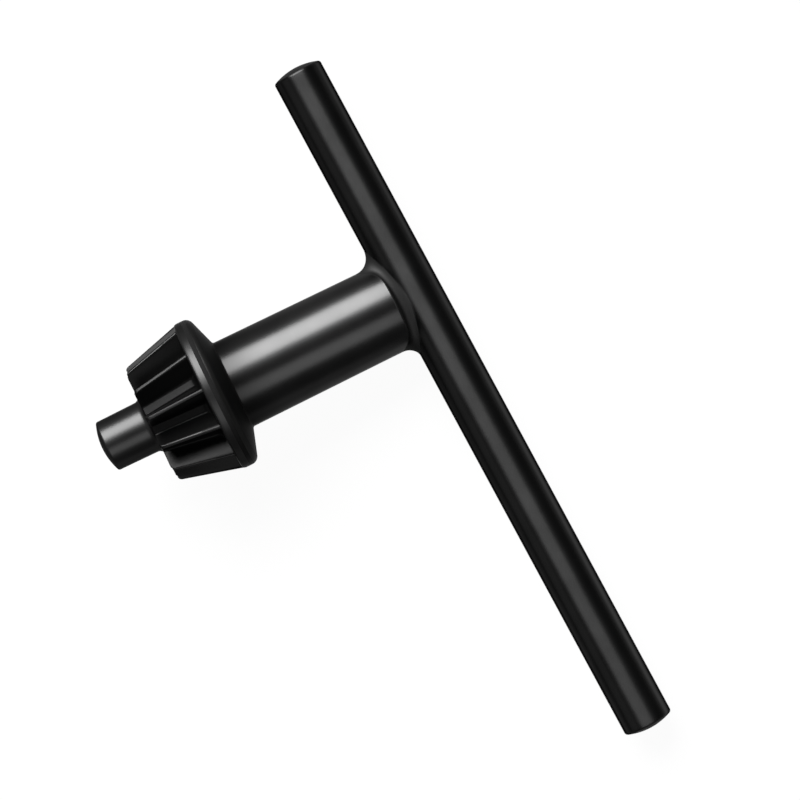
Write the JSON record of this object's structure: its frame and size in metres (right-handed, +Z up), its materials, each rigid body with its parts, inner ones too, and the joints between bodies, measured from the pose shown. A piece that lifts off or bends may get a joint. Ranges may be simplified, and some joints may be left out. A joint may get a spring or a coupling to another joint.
{
  "type": "drill chuck key",
  "caption": "One-piece drill chuck key: pilot, bevel pinion with flange and round shaft, crossed by an off-centre bar handle, in satin black steel.",
  "frame": {"origin": "middle of the key's footprint, on the flat surface that it lies on", "axes": "+Z up; +Y along the handle towards its long arm; the shaft's pilot points to +X and a little up, because the key lies on its flange, the shaft's shoulder and the long arm's end"},
  "size_m": [0.0442, 0.0852, 0.0179],
  "materials": {
    "black_steel": "satin black coating on steel"
  },
  "bodies": {
    "root": {"chuck_key": "black_steel"}
  },
  "joints": []
}
